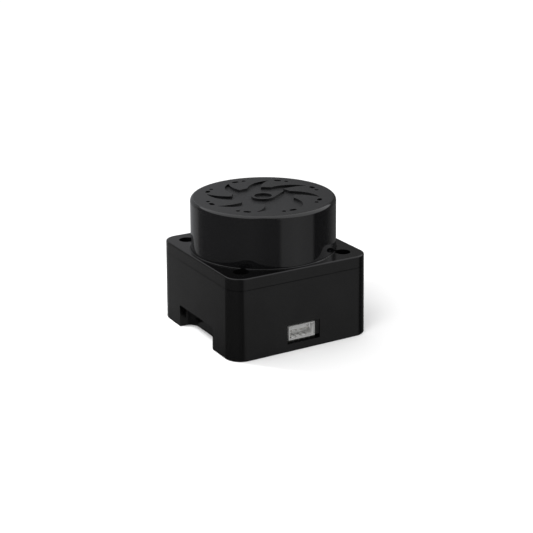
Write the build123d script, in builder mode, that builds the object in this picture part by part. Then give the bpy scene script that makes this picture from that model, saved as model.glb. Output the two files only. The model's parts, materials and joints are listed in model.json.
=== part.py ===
"""Compact spinning lidar scanner: a square base with a brushless motor that turns a round ranging head.

Units are millimetres. +Z is up and is the spin axis; the origin is the centre of the underside.
The cable connector is on the -Y side and the two foot recesses are on the -X and +X sides.
The head is drawn with its optics looking along +X.
"""

from build123d import *

import os
from math import acos, cos, radians, sin, tan

# ---- overall ----
BASE_SIDE = 38.59
BASE_DRAFT = 0.9
BASE_CORNER_R = 4.2
HOUSING_H = 17.6
PLATE_TOP = 20.6
TOTAL_H = 33.5
SEAM_CHAMFER = 0.12
PLATE_EDGE_R = 0.35
FOOT_CHAMFER = 0.2

# ---- base housing ----
WALL = 1.5
FLOOR = 1.2
POST_AT = 14.15
POST_R = 3.4
POST_TOP = 15.1
MOUNT_HOLE_R = 1.05
MOUNT_HOLE_DEPTH = 6.0
COVER_PILOT_R = 0.81
COVER_PILOT_DEPTH = 7.0
NOTCH_HALF_W = 8.75
NOTCH_H = 5.8
NOTCH_DEPTH = 3.95
NOTCH_INNER_R = 2.3
NOTCH_WALL = 1.2
WINDOW_X = (-4.6, 4.5)
WINDOW_Z = (2.0, 6.75)
WINDOW_STEP_X = 3.6
WINDOW_STEP_SETBACK = 0.28
WINDOW_CORNER_TOP = 2.95
BOARD_PAD_R = 1.2
BOARD_PAD_AT = (11.5, 12.0)

# ---- top cover ----
RECESS_R = 18.08
RECESS_FLOOR = 19.2
RIM_LIP_R = 18.3
RIM_LIP_H = 0.22
RIM_LIP_ROUND = 0.19
NECK_OPENING_R = 13.3
LIP_DEPTH = 1.2
LIP_WALL = 1.0
LIP_CLEARANCE = 0.15
COUNTERBORE_R = 1.9
COUNTERBORE_FLOOR = 16.3
COVER_SCREW_R = 0.8
COVER_SCREW_CLEAR_R = 0.95
COVER_SCREW_HEAD_R = 1.6
COVER_SCREW_HEAD_H = 1.2
COVER_SCREW_LENGTH = 6.5
COIL_GROOVE = (13.9, 17.1)
COIL_GROOVE_FLOOR = 17.9

# ---- base board and connector ----
BOARD_Z = 1.75
BOARD_T = 0.8
BOARD_HALF_X = 13.8
BOARD_HALF_Y = 17.2
BOARD_CORNER_CUT_R = 3.8
BOARD_TONGUE_HALF_W = 3.85
BOARD_TONGUE_END = 18.0
PLUG_PITCH = 1.5
PLUG_WAYS = 4
SHELL_X = (-3.85, 3.5)
SHELL_TOP = 6.18
SHELL_DEPTH = 5.4
SHELL_SETBACK = 0.75
SHELL_WALL = 0.35
SHELL_FLOOR_T = 0.42
MOUTH_DEPTH = 2.9
MOUTH_STEP_Z = 5.15
MOUTH_STEP_X = 1.15
KEY_X = (1.75, 2.2)
KEY_BOTTOM = 4.85
FLOOR_GROOVE_W = 0.55
FLOOR_GROOVE_DEPTH = 0.34
PIN_SIDE = 0.5
PIN_Z = 4.0
PIN_SETBACK = 1.6
TAIL_T = 0.5
PAD_W = 0.35
PAD_T = 0.06
TONGUE_ROOM = 0.15
MOTOR_PILOT_FLOOR = 0.3

# ---- light barrier and optical link ----
BARRIER_HALF_W = 2.0
BARRIER_Y = (10.3, 15.2)
BARRIER_SLOT_Y = (11.95, 13.55)
BARRIER_SLOT_Z = 4.2
BARRIER_TOP = 7.3
BARRIER_EDGE_R = 0.3
LINK_HALF_L = 1.0
PHOTODIODE_HALF_W = 0.8
PHOTODIODE_H = 0.55
PHOTODIODE_DOME_R = 0.5
EMITTER_HALF_W = 0.7
EMITTER_H = 0.5
EMITTER_DOME_R = 0.4

# ---- motor ----
TUBE_FLANGE_R = 8.6
TUBE_FLANGE_T = 1.2
MOTOR_SCREW_AT = 7.0
MOTOR_PAD_R = 1.6
TUBE_R = 4.0
TUBE_STEP_R = 4.8
TUBE_TOP = 15.7
BEARING_R = 3.0
BEARING_W = 2.5
LOWER_BEARING_Z = 6.0
UPPER_BEARING_Z = 12.8
BALL_PITCH_R = 2.25
BALL_R = 0.4
BALL_COUNT = 7
GROOVE_R = 0.45
FIT_GAP = 0.01
SHAFT_R = 1.5
SHAFT_BORE_R = 0.8
SHOULDER_R = 2.4
RACE_RIM_R = (1.88, 2.62)
CAGE_R = (2.06, 2.44)
SHAFT_BOTTOM = 4.6
SHAFT_TOP = 21.0
CLIP_Z = 5.45
CLIP_T = 0.4
STATOR_Z = 8.6
STATOR_H = 3.0
STATOR_R = 9.0
STATOR_TEETH = 9
TOOTH_W = 1.6
HUB_R = 5.5
SHOE_T = 0.8
SHOE_GAP = 1.1
COIL_BUILD = 0.75
COIL_SPAN = (5.65, 7.95)
MAGNET_R = (9.4, 10.9)
MAGNET_Z = (8.2, 12.6)
MAGNET_POLES = 12
CUP_R = 11.6
CUP_Z = (8.0, 16.9)
CUP_TOP_T = 0.8
CUP_HOLE_AT = 6.6
CUP_HOLE_R = 0.9

# ---- encoder, link and power coils ----
ENCODER_R = (12.5, 13.0)
ENCODER_Z = (4.6, 17.0)
ENCODER_WEB_T = 0.6
ENCODER_SLOTS = 15
ENCODER_SLOT_TOP = 7.0
ENCODER_SLOT_W = 2.4
ENCODER_ZERO_W = 3.6
COIL_R = (14.1, 16.9)
FERRITE_T = 0.35

# ---- head ----
CAP_BOTTOM = 19.55
CAP_R = 18.0
CAP_DRAFT = 0.6
CAP_RIM_R = 0.9
CAP_WALL = 1.05
CAP_ROOF = 1.2
CHASSIS_FLANGE_Z = (19.6, 21.0)
CHASSIS_R = 16.86
CHASSIS_NECK_R = 12.2
CHASSIS_GROOVE_R = (14.0, 16.35)
CHASSIS_GROOVE_H = 0.9
ROOM_R = (3.4, 9.0)
ROOM_FLOOR = 18.4
WEBS = 6
WEB_T = 1.2
BOARD_POST_R = 1.5
BOARD_POST_SINK = 0.4
BOARD_PILOT_DEPTH = 1.6
SNAP_Z = 20.3
ROTOR_BOARD_Z = 22.0
ROTOR_BOARD_R = 15.4
POST_CIRCLE_R = 11.2
SMALL_PILOT_R = 0.66
SMALL_CLEAR_R = 0.85
SMALL_SCREW_R = 0.65
SMALL_SCREW_HEAD = (1.3, 0.9)
MOTOR_SCREW_LENGTH = 3.1
BOARD_SCREW_LENGTH = 1.9

# ---- relief on the roof ----
RELIEF_DEPTH = 0.6
RELIEF_POCKET_R = 7.65
VANES = 8
VANE_TIP = (-2.12, 13.7)
VANE_ROOT_LEAD = (-2.38, 6.9)
VANE_LEAD_MID = (-2.95, 9.9)
VANE_ROOT_TRAIL = (-5.4, 5.2)
VANE_TRAIL_MID = (-5.4, 9.25)
DROP_R = (2.15, 2.95)
DROP_TIP_R = 6.7
DROP_ANGLE = 8.6
MARK_R = 14.15
MARK_LENGTH = 1.85
MARK_WIDTH = 1.12
MARK_DEPTH = 0.9
DOT_R = 0.5
DOT_LAG = 9.5

# ---- optics ----
BEAM_Z = 27.6
BLOCK_X = (-1.0, 11.3)
BLOCK_Y = (-9.8, 10.2)
BLOCK_TOP = 32.0
RECEIVER_Y = 4.7
RECEIVER_LENS_R = 4.5
EMITTER_Y = -5.4
EMITTER_LENS_R = 3.3
LENS_T = 1.6
LENS_EDGE_T = 0.8
LENS_SEAT = 0.4
LENS_BULGES = (1.6, 1.1)
BARREL_BACK_R = (2.2, 1.8)
FOOT_T = 1.0
LASER_BASE = (1.65, 0.5)
LASER_CAN = (1.25, 1.2)
SENSOR_SIDE = 2.6
SENSOR_T = 0.8
LINK_PIN_STARTS = (-8.0, 3.6)
LINK_PIN_COUNT = 5
LINK_PIN_PITCH = 1.0
LINK_PIN_SIDE = 0.32
LINK_PIN_REACH = 1.0
LINK_PIN_Z = 24.2

# ---- derived ----
BOARD_TOP = BOARD_Z + BOARD_T
ROTOR_BOARD_TOP = ROTOR_BOARD_Z + BOARD_T
HALF = BASE_SIDE / 2
POSTS = [(x, y) for x in (-POST_AT, POST_AT) for y in (-POST_AT, POST_AT)]


def side_at(z):
    """Side of the drafted base at height z."""
    return BASE_SIDE - 2 * z * tan(radians(BASE_DRAFT))


def cap_r_at(z):
    """Outer radius of the drafted head cap at height z."""
    return CAP_R - (z - CAP_BOTTOM) * tan(radians(CAP_DRAFT))


def save(builder, label):
    """Labels a finished piece and writes its STEP file."""
    builder.part.label = label
    export_step(builder.part, f"parts/{label}.step")


def ring(z0, z1, inner, outer, mode=Mode.ADD):
    """Adds or removes a plain ring about the spin axis."""
    with BuildSketch(Plane.XY.offset(z0), mode=Mode.PRIVATE) as profile:
        Circle(outer)
        if inner:
            Circle(inner, mode=Mode.SUBTRACT)
    extrude(profile.sketch, amount=z1 - z0, mode=mode)


def block(x, y, z, mode=Mode.ADD):
    """Adds or removes a box given by its lowest and highest x, y and z."""
    centre = [(low + high) / 2 for low, high in (x, y, z)]
    with Locations(tuple(centre)):
        Box(x[1] - x[0], y[1] - y[0], z[1] - z[0], mode=mode)


def drafted_square(z0, z1):
    """Adds the square outer form of the base between two heights."""
    outlines = []
    for z in (z0, z1):
        shrink = z * tan(radians(BASE_DRAFT))
        with BuildSketch(Plane.XY.offset(z), mode=Mode.PRIVATE) as outline:
            RectangleRounded(side_at(z), side_at(z), BASE_CORNER_R - shrink)
        outlines.append(outline.sketch.face())
    loft(outlines)


def pan_screw(x, y, seat_z, head_r, head_h, shank_r, length):
    """Adds one pan-head screw with a cross recess, its head standing on seat_z."""
    top = seat_z + head_h
    with BuildSketch(Plane.XZ.offset(-y), mode=Mode.PRIVATE) as profile:
        with BuildLine():
            Polyline((x, seat_z - length), (x + shank_r, seat_z - length + shank_r))
            Line((x + shank_r, seat_z - length + shank_r), (x + shank_r, seat_z))
            Line((x + shank_r, seat_z), (x + head_r, seat_z))
            Line((x + head_r, seat_z), (x + head_r, seat_z + head_h * 0.45))
            ThreePointArc(
                (x + head_r, seat_z + head_h * 0.45),
                (x + head_r * 0.62, seat_z + head_h * 0.88),
                (x, top),
            )
            Line((x, top), (x, seat_z - length))
        make_face()
    revolve(profile.sketch, axis=Axis((x, y, 0), (0, 0, 1)))
    for across in ((0.62, 0.16), (0.16, 0.62)):
        half_x, half_y = (head_r * share for share in across)
        block(
            (x - half_x, x + half_x),
            (y - half_y, y + half_y),
            (top - head_h * 0.55, top + 0.1),
            mode=Mode.SUBTRACT,
        )


def small_screw(x, y, seat_z, length):
    """Adds one of the small screws that hold the motor, the boards and the optics."""
    pan_screw(x, y, seat_z, *SMALL_SCREW_HEAD, SMALL_SCREW_R, length)


os.makedirs("parts", exist_ok=True)

# ======================================================================
# Base: moulded shells and their screws
# ======================================================================

# The housing is a tub: four corner posts carry the fixing holes, and each side foot recess
# keeps its own inner wall, so the inside stays closed.
CAVITY = 2 * (HALF - WALL) - 2 * HOUSING_H * tan(radians(BASE_DRAFT))
with BuildPart() as base_housing:
    drafted_square(0, HOUSING_H)
    foot_edges = base_housing.faces().sort_by(Axis.Z)[0].edges()
    chamfer(foot_edges, FOOT_CHAMFER)
    with BuildSketch(Plane.XY.offset(FLOOR)) as cavity:
        RectangleRounded(CAVITY, CAVITY, BASE_CORNER_R - WALL)
        with Locations(*POSTS):
            Circle(POST_R, mode=Mode.SUBTRACT)
        for side in (-1, 1):
            with Locations((side * HALF, 0)):
                Rectangle(
                    2 * (NOTCH_DEPTH + NOTCH_WALL),
                    2 * (NOTCH_HALF_W + NOTCH_WALL),
                    mode=Mode.SUBTRACT,
                )
    extrude(amount=HOUSING_H - FLOOR, mode=Mode.SUBTRACT)
    # The room above the recess walls, and above the posts, is open to the full width.
    with BuildSketch(Plane.XY.offset(NOTCH_H + NOTCH_WALL)) as above_notch:
        Rectangle(CAVITY, 2 * (NOTCH_HALF_W + NOTCH_WALL))
    extrude(amount=HOUSING_H, mode=Mode.SUBTRACT)
    with BuildSketch(Plane.XY.offset(POST_TOP)) as above_posts:
        RectangleRounded(CAVITY, CAVITY, BASE_CORNER_R - WALL)
    extrude(amount=HOUSING_H, mode=Mode.SUBTRACT)
    # Foot recesses, open below and to the side, with rounded inner corners.
    for side in (-1, 1):
        with BuildSketch(Plane.XY) as notch:
            with Locations((side * HALF, 0)):
                RectangleRounded(2 * NOTCH_DEPTH, 2 * NOTCH_HALF_W, NOTCH_INNER_R)
        extrude(amount=NOTCH_H, mode=Mode.SUBTRACT)
    # Connector window in the -Y wall. A shallow step beside the connector narrows it, and the
    # window stays open there only in the lower corner.
    block(WINDOW_X, (-HALF - 1, -HALF + WINDOW_STEP_SETBACK), WINDOW_Z, mode=Mode.SUBTRACT)
    through_y = (-HALF - 1, -HALF + WALL + 1)
    block((WINDOW_X[0], WINDOW_STEP_X), through_y, WINDOW_Z, mode=Mode.SUBTRACT)
    block(WINDOW_X, through_y, (WINDOW_Z[0], WINDOW_CORNER_TOP), mode=Mode.SUBTRACT)
    # Room behind the window sill for the board's tongue.
    tongue_room = BOARD_TONGUE_HALF_W + TONGUE_ROOM
    block(
        (-tongue_room, tongue_room),
        (-BOARD_TONGUE_END - 0.1, -HALF + WALL + 1),
        (BOARD_Z - 0.1, WINDOW_Z[0] + 0.1),
        mode=Mode.SUBTRACT,
    )
    # Pads that carry the board, with pilot holes for the motor screws.
    with BuildSketch(Plane.XY.offset(FLOOR)) as pads:
        with PolarLocations(MOTOR_SCREW_AT, 3, start_angle=90):
            Circle(MOTOR_PAD_R)
        with GridLocations(2 * BOARD_PAD_AT[0], 2 * BOARD_PAD_AT[1], 2, 2):
            Circle(BOARD_PAD_R)
    extrude(amount=BOARD_Z - FLOOR)
    with BuildSketch(Plane.XY.offset(MOTOR_PILOT_FLOOR)) as motor_pilots:
        with PolarLocations(MOTOR_SCREW_AT, 3, start_angle=90):
            Circle(SMALL_PILOT_R)
    extrude(amount=BOARD_Z, mode=Mode.SUBTRACT)
    # Tapped mounting holes from below and screw pilots from above, in every post.
    with BuildSketch(Plane.XY) as mount_holes:
        with Locations(*POSTS):
            Circle(MOUNT_HOLE_R)
    extrude(amount=MOUNT_HOLE_DEPTH, mode=Mode.SUBTRACT)
    with BuildSketch(Plane.XY.offset(POST_TOP)) as cover_pilots:
        with Locations(*POSTS):
            Circle(COVER_PILOT_R)
    extrude(amount=-COVER_PILOT_DEPTH, mode=Mode.SUBTRACT)
save(base_housing, "base_housing")

# The top cover closes the tub. Its shallow round recess takes the foot of the head, and the
# groove in the recess floor holds the power coil.
with BuildPart() as top_cover:
    drafted_square(HOUSING_H, PLATE_TOP)
    fillet(top_cover.faces().sort_by(Axis.Z)[-1].edges(), PLATE_EDGE_R)
    chamfer(top_cover.faces().sort_by(Axis.Z)[0].edges(), SEAM_CHAMFER)
    # A fine raised lip runs round the recess; the screw holes just cut into it.
    ring(PLATE_TOP - 0.1, PLATE_TOP + RIM_LIP_H, 0, RIM_LIP_R)
    fillet(top_cover.faces().sort_by(Axis.Z)[-1].edges(), RIM_LIP_ROUND)
    ring(RECESS_FLOOR, PLATE_TOP + 1, 0, RECESS_R, mode=Mode.SUBTRACT)
    ring(HOUSING_H - 1, RECESS_FLOOR, 0, NECK_OPENING_R, mode=Mode.SUBTRACT)
    ring(COIL_GROOVE_FLOOR, RECESS_FLOOR, *COIL_GROOVE, mode=Mode.SUBTRACT)
    # Locating lip inside the tub.
    lip_side = CAVITY - 2 * LIP_CLEARANCE
    with BuildSketch(Plane.XY.offset(HOUSING_H - LIP_DEPTH)) as lip:
        RectangleRounded(lip_side, lip_side, BASE_CORNER_R - WALL)
        inner_side = lip_side - 2 * LIP_WALL
        RectangleRounded(inner_side, inner_side, 1.7, mode=Mode.SUBTRACT)
    extrude(amount=LIP_DEPTH)
    # Corner bosses that stand on the housing posts.
    boss_bottom = POST_TOP + FIT_GAP
    with BuildSketch(Plane.XY.offset(boss_bottom)) as bosses:
        with Locations(*POSTS):
            Circle(POST_R - LIP_CLEARANCE)
        RectangleRounded(lip_side, lip_side, BASE_CORNER_R - WALL, mode=Mode.INTERSECT)
    extrude(amount=HOUSING_H - boss_bottom)
    with BuildSketch(Plane.XY.offset(COUNTERBORE_FLOOR)) as counterbores:
        with Locations(*POSTS):
            Circle(COUNTERBORE_R)
    extrude(amount=PLATE_TOP, mode=Mode.SUBTRACT)
    with BuildSketch(Plane.XY.offset(boss_bottom - 1)) as clearances:
        with Locations(*POSTS):
            Circle(COVER_SCREW_CLEAR_R)
    extrude(amount=4, mode=Mode.SUBTRACT)
save(top_cover, "top_cover")

with BuildPart() as cover_screws:
    for post_x, post_y in POSTS:
        pan_screw(
            post_x,
            post_y,
            COUNTERBORE_FLOOR,
            COVER_SCREW_HEAD_R,
            COVER_SCREW_HEAD_H,
            COVER_SCREW_R,
            COVER_SCREW_LENGTH,
        )
save(cover_screws, "cover_screws")

# ======================================================================
# Base board, connector and sensors
# ======================================================================

with BuildPart() as base_board:
    with BuildSketch(Plane.XY.offset(BOARD_Z)) as board_outline:
        Rectangle(2 * BOARD_HALF_X, 2 * BOARD_HALF_Y)
        with Locations((0, -(BOARD_HALF_Y + BOARD_TONGUE_END) / 2 + 0.25)):
            Rectangle(2 * BOARD_TONGUE_HALF_W, BOARD_TONGUE_END - BOARD_HALF_Y + 0.5)
        with Locations(*POSTS):
            Circle(BOARD_CORNER_CUT_R, mode=Mode.SUBTRACT)
        with PolarLocations(MOTOR_SCREW_AT, 3, start_angle=90):
            Circle(SMALL_CLEAR_R, mode=Mode.SUBTRACT)
    extrude(amount=BOARD_T)
save(base_board, "base_board")

# Motor driver, controller, regulator and passives: (x, y, length, width, height).
BASE_CHIPS = [
    (-10.6, 3.5, 4.0, 4.0, 0.9),
    (10.9, 3.2, 4.0, 4.0, 0.9),
    (10.6, -6.0, 3.0, 3.0, 1.2),
    (-10.6, -4.5, 3.0, 1.6, 1.1),
    (-9.0, -12.0, 2.0, 1.2, 1.0),
    (-6.2, -13.2, 1.6, 0.8, 0.8),
    (8.2, -12.2, 3.0, 3.0, 1.5),
    (-7.5, 13.0, 2.0, 1.2, 1.0),
    (7.5, 13.0, 2.0, 1.2, 1.0),
]
with BuildPart() as base_board_chips:
    for chip_x, chip_y, length, width, height in BASE_CHIPS:
        block(
            (chip_x - length / 2, chip_x + length / 2),
            (chip_y - width / 2, chip_y + width / 2),
            (BOARD_TOP, BOARD_TOP + height),
        )
save(base_board_chips, "base_board_chips")

# Side-entry shrouded header: its mouth faces -Y, just behind the housing face.
SHELL_FRONT = -(HALF - SHELL_SETBACK)
SHELL_BOTTOM = BOARD_TOP + FIT_GAP
MOUTH_FLOOR = SHELL_BOTTOM + SHELL_FLOOR_T
MOUTH_Y = (SHELL_FRONT - 1, SHELL_FRONT + MOUTH_DEPTH)
PIN_XS = [(index - (PLUG_WAYS - 1) / 2) * PLUG_PITCH for index in range(PLUG_WAYS)]
with BuildPart() as connector_shell:
    block(SHELL_X, (SHELL_FRONT, SHELL_FRONT + SHELL_DEPTH), (SHELL_BOTTOM, SHELL_TOP))
    mouth_x = (SHELL_X[0] + SHELL_WALL, SHELL_X[1] - SHELL_WALL)
    block(mouth_x, MOUTH_Y, (MOUTH_FLOOR, MOUTH_STEP_Z), mode=Mode.SUBTRACT)
    # The mouth is taller on one side, where a key hangs, so the plug fits one way up.
    tall_x = (MOUTH_STEP_X, mouth_x[1])
    block(tall_x, MOUTH_Y, (MOUTH_FLOOR, SHELL_TOP - SHELL_WALL), mode=Mode.SUBTRACT)
    block(KEY_X, (SHELL_FRONT, MOUTH_Y[1]), (KEY_BOTTOM, SHELL_TOP - 0.1))
    # Grooves along the mouth's floor guide the plug's ribs.
    for pin_x in PIN_XS:
        groove_mid = pin_x - PLUG_PITCH / 2
        groove_x = (groove_mid - FLOOR_GROOVE_W / 2, groove_mid + FLOOR_GROOVE_W / 2)
        groove_z = (MOUTH_FLOOR - FLOOR_GROOVE_DEPTH, MOUTH_FLOOR + 0.1)
        block(groove_x, (SHELL_FRONT + 0.3, MOUTH_Y[1]), groove_z, mode=Mode.SUBTRACT)
    for pin_x in PIN_XS:
        hole_x = (pin_x - PIN_SIDE / 2, pin_x + PIN_SIDE / 2)
        hole_y = (MOUTH_Y[1] - 1, SHELL_FRONT + SHELL_DEPTH + 1)
        block(hole_x, hole_y, (PIN_Z, PIN_Z + PIN_SIDE), mode=Mode.SUBTRACT)
save(connector_shell, "connector_shell")

# Each pin runs back out of the shell, down to the board and along it as a solder tail.
with BuildPart() as connector_pins:
    pin_back = SHELL_FRONT + SHELL_DEPTH
    pin_z = (PIN_Z + FIT_GAP, PIN_Z + PIN_SIDE - FIT_GAP)
    for pin_x in PIN_XS:
        pin_span = (pin_x - PIN_SIDE / 2 + FIT_GAP, pin_x + PIN_SIDE / 2 - FIT_GAP)
        bend_y = (pin_back + 0.3, pin_back + 0.3 + TAIL_T)
        block(pin_span, (SHELL_FRONT + PIN_SETBACK, bend_y[1]), pin_z)
        block(pin_span, bend_y, (BOARD_TOP, pin_z[1]))
        block(pin_span, (bend_y[0], bend_y[1] + 0.8), (BOARD_TOP, BOARD_TOP + 0.2))
save(connector_pins, "connector_pins")

# Solder pads on the front edge of the board's tongue.
with BuildPart() as board_edge_pads:
    pad_y = (-BOARD_TONGUE_END - PAD_T, -BOARD_TONGUE_END)
    for pin_x in PIN_XS:
        block((pin_x - PAD_W / 2, pin_x + PAD_W / 2), pad_y, (BOARD_Z + 0.1, BOARD_TOP - 0.1))
save(board_edge_pads, "board_edge_pads")

# Slotted light barrier that reads the encoder skirt.
with BuildPart() as encoder_sensor:
    block((-BARRIER_HALF_W, BARRIER_HALF_W), BARRIER_Y, (BOARD_TOP, BARRIER_TOP))
    slot_x = (-BARRIER_HALF_W - 1, BARRIER_HALF_W + 1)
    block(slot_x, BARRIER_SLOT_Y, (BARRIER_SLOT_Z, BARRIER_TOP + 1), mode=Mode.SUBTRACT)
    fillet(encoder_sensor.edges().filter_by(Axis.Z), BARRIER_EDGE_R)
save(encoder_sensor, "encoder_sensor")

with BuildPart() as link_photodiode:
    diode_y = (-PHOTODIODE_HALF_W, PHOTODIODE_HALF_W)
    block((-LINK_HALF_L, LINK_HALF_L), diode_y, (BOARD_TOP, BOARD_TOP + PHOTODIODE_H))
    with Locations((0, 0, BOARD_TOP + PHOTODIODE_H)):
        Sphere(PHOTODIODE_DOME_R)
save(link_photodiode, "link_photodiode")

# ======================================================================
# Motor: bearing tube, stator and bearings
# ======================================================================

with BuildPart() as bearing_tube:
    ring(BOARD_TOP, BOARD_TOP + TUBE_FLANGE_T, 0, TUBE_FLANGE_R)
    ring(BOARD_TOP, STATOR_Z, 0, TUBE_STEP_R)
    ring(STATOR_Z, TUBE_TOP, 0, TUBE_R)
    chamfer(bearing_tube.faces().sort_by(Axis.Z)[-1].edges(), 0.25)
    ring(BOARD_TOP, LOWER_BEARING_Z + BEARING_W, 0, BEARING_R, mode=Mode.SUBTRACT)
    ring(LOWER_BEARING_Z, UPPER_BEARING_Z, 0, SHOULDER_R, mode=Mode.SUBTRACT)
    ring(UPPER_BEARING_Z, TUBE_TOP, 0, BEARING_R, mode=Mode.SUBTRACT)
    with BuildSketch(Plane.XY.offset(BOARD_TOP)) as flange_holes:
        with PolarLocations(MOTOR_SCREW_AT, 3, start_angle=90):
            Circle(SMALL_CLEAR_R)
    extrude(amount=TUBE_FLANGE_T, mode=Mode.SUBTRACT)
save(bearing_tube, "bearing_tube")

with BuildPart() as motor_screws:
    for turn in (90, 210, 330):
        screw_x = MOTOR_SCREW_AT * cos(radians(turn))
        screw_y = MOTOR_SCREW_AT * sin(radians(turn))
        small_screw(screw_x, screw_y, BOARD_TOP + TUBE_FLANGE_T, MOTOR_SCREW_LENGTH)
save(motor_screws, "motor_screws")

with BuildPart() as stator_core:
    with BuildSketch(Plane.XY.offset(STATOR_Z)) as lamination:
        Circle(HUB_R)
        with PolarLocations((TUBE_STEP_R + STATOR_R) / 2, STATOR_TEETH):
            Rectangle(STATOR_R - TUBE_STEP_R, TOOTH_W)
        with BuildSketch(mode=Mode.PRIVATE) as shoes:
            Circle(STATOR_R)
            Circle(STATOR_R - SHOE_T, mode=Mode.SUBTRACT)
            with PolarLocations(STATOR_R, STATOR_TEETH, start_angle=180 / STATOR_TEETH):
                Rectangle(4, SHOE_GAP, mode=Mode.SUBTRACT)
        add(shoes.sketch)
        Circle(STATOR_R, mode=Mode.INTERSECT)
        Circle(TUBE_R + FIT_GAP, mode=Mode.SUBTRACT)
    extrude(amount=STATOR_H)
save(stator_core, "stator_core")

with BuildPart() as stator_windings:
    for index in range(STATOR_TEETH):
        tooth = Plane((0, 0, STATOR_Z + STATOR_H / 2)).rotated((0, 0, index * 360 / STATOR_TEETH))
        across = Plane(tooth.origin, x_dir=tooth.y_dir, z_dir=tooth.x_dir)
        with BuildSketch(across.offset(COIL_SPAN[0])) as turn_profile:
            bare_w = TOOTH_W + 0.1
            bare_h = STATOR_H + 0.1
            RectangleRounded(bare_w + 2 * COIL_BUILD, bare_h + 2 * COIL_BUILD, 0.7)
            Rectangle(bare_w, bare_h, mode=Mode.SUBTRACT)
        extrude(amount=COIL_SPAN[1] - COIL_SPAN[0])
save(stator_windings, "stator_windings")


def race(z0, inner, outer, raceway):
    """Adds a bearing race with its ball groove, standing on z0."""
    ring(z0, z0 + BEARING_W, inner, outer)
    with BuildSketch(Plane.XZ, mode=Mode.PRIVATE) as groove:
        with Locations((BALL_PITCH_R, z0 + BEARING_W / 2)):
            Circle(GROOVE_R)
    revolve(groove.sketch, axis=Axis.Z, mode=Mode.SUBTRACT)
    rims = [edge for edge in edges().filter_by(GeomType.CIRCLE) if abs(edge.radius - raceway) < 1e-6]
    chamfer([edge for edge in rims if abs(edge.center().Z - z0 - BEARING_W / 2) > 1], 0.08)


for place, bearing_z in (("lower", LOWER_BEARING_Z), ("upper", UPPER_BEARING_Z)):
    with BuildPart() as outer_race:
        race(bearing_z, RACE_RIM_R[1], BEARING_R - FIT_GAP, BEARING_R - FIT_GAP)
    save(outer_race, f"{place}_bearing_outer_race")
    with BuildPart() as inner_race:
        race(bearing_z, SHAFT_R, RACE_RIM_R[0], RACE_RIM_R[0])
    save(inner_race, f"{place}_bearing_inner_race")
    mid_z = bearing_z + BEARING_W / 2
    with BuildPart() as balls:
        with Locations((0, 0, mid_z)):
            with PolarLocations(BALL_PITCH_R, BALL_COUNT):
                Sphere(BALL_R)
    save(balls, f"{place}_bearing_balls")
    with BuildPart() as cage:
        ring(mid_z - 0.05, mid_z + 0.75, *CAGE_R)
        with Locations((0, 0, mid_z)):
            with PolarLocations(BALL_PITCH_R, BALL_COUNT):
                Sphere(BALL_R + 0.03, mode=Mode.SUBTRACT)
    save(cage, f"{place}_bearing_cage")

# Fixed half of the rotary transformer, in the groove of the top cover.
with BuildPart() as primary_ferrite:
    ring(COIL_GROOVE_FLOOR, COIL_GROOVE_FLOOR + FERRITE_T, *COIL_R)
save(primary_ferrite, "primary_ferrite")

with BuildPart() as primary_coil:
    coil_z = COIL_GROOVE_FLOOR + FERRITE_T
    ring(coil_z, coil_z + 0.7, COIL_R[0] + 0.2, COIL_R[1] - 0.2)
    fillet(primary_coil.edges(), 0.2)
save(primary_coil, "primary_coil")

# ======================================================================
# Rotor: shaft, magnet cup and encoder
# ======================================================================

with BuildPart() as shaft:
    ring(SHAFT_BOTTOM, SHAFT_TOP, SHAFT_BORE_R, SHAFT_R - FIT_GAP)
    ring(CLIP_Z, CLIP_Z + CLIP_T + 0.05, 1.2, SHAFT_R + 1, mode=Mode.SUBTRACT)
save(shaft, "shaft")

with BuildPart() as shaft_clip:
    ring(CLIP_Z + 0.02, CLIP_Z + 0.02 + CLIP_T, 1.22, 2.2)
    block((-0.8, 0.8), (-3, 0), (CLIP_Z, CLIP_Z + 1), mode=Mode.SUBTRACT)
save(shaft_clip, "shaft_clip")

with BuildPart() as rotor_cup:
    ring(*CUP_Z, 0, CUP_R)
    ring(CUP_Z[0], CUP_Z[1] - CUP_TOP_T, 0, MAGNET_R[1] + FIT_GAP, mode=Mode.SUBTRACT)
    ring(*CUP_Z, 0, SHAFT_R, mode=Mode.SUBTRACT)
    fillet(rotor_cup.faces().sort_by(Axis.Z)[-1].edges().sort_by(SortBy.LENGTH)[-1], 0.4)
    with BuildSketch(Plane.XY.offset(CUP_Z[1] - CUP_TOP_T)) as cup_holes:
        with PolarLocations(CUP_HOLE_AT, 3, start_angle=30):
            Circle(CUP_HOLE_R)
    extrude(amount=CUP_TOP_T, mode=Mode.SUBTRACT)
save(rotor_cup, "rotor_cup")

with BuildPart() as rotor_magnets:
    ring(*MAGNET_Z, *MAGNET_R)
    with BuildSketch(Plane.XY.offset(MAGNET_Z[0])) as pole_gaps:
        with PolarLocations(sum(MAGNET_R) / 2, MAGNET_POLES, start_angle=15):
            Rectangle(3, 0.2)
    extrude(amount=MAGNET_Z[1] - MAGNET_Z[0], mode=Mode.SUBTRACT)
save(rotor_magnets, "rotor_magnets")

# The encoder is a slotted skirt below a thin web. One slot is wider and marks zero.
with BuildPart() as encoder_ring:
    ring(*ENCODER_Z, *ENCODER_R)
    ring(ENCODER_Z[1] - ENCODER_WEB_T, ENCODER_Z[1], CUP_R + 0.05, ENCODER_R[1])
    slot_h = ENCODER_SLOT_TOP - ENCODER_Z[0]
    slot_mid_z = ENCODER_Z[0] + slot_h / 2 - 0.5
    for index in range(ENCODER_SLOTS):
        slot_w = ENCODER_ZERO_W if index == 0 else ENCODER_SLOT_W
        with Locations(Location((0, 0, slot_mid_z), (0, 0, index * 360 / ENCODER_SLOTS))):
            with Locations((ENCODER_R[0], 0, 0)):
                Box(3, slot_w, slot_h + 1, mode=Mode.SUBTRACT)
save(encoder_ring, "encoder_ring")

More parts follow.
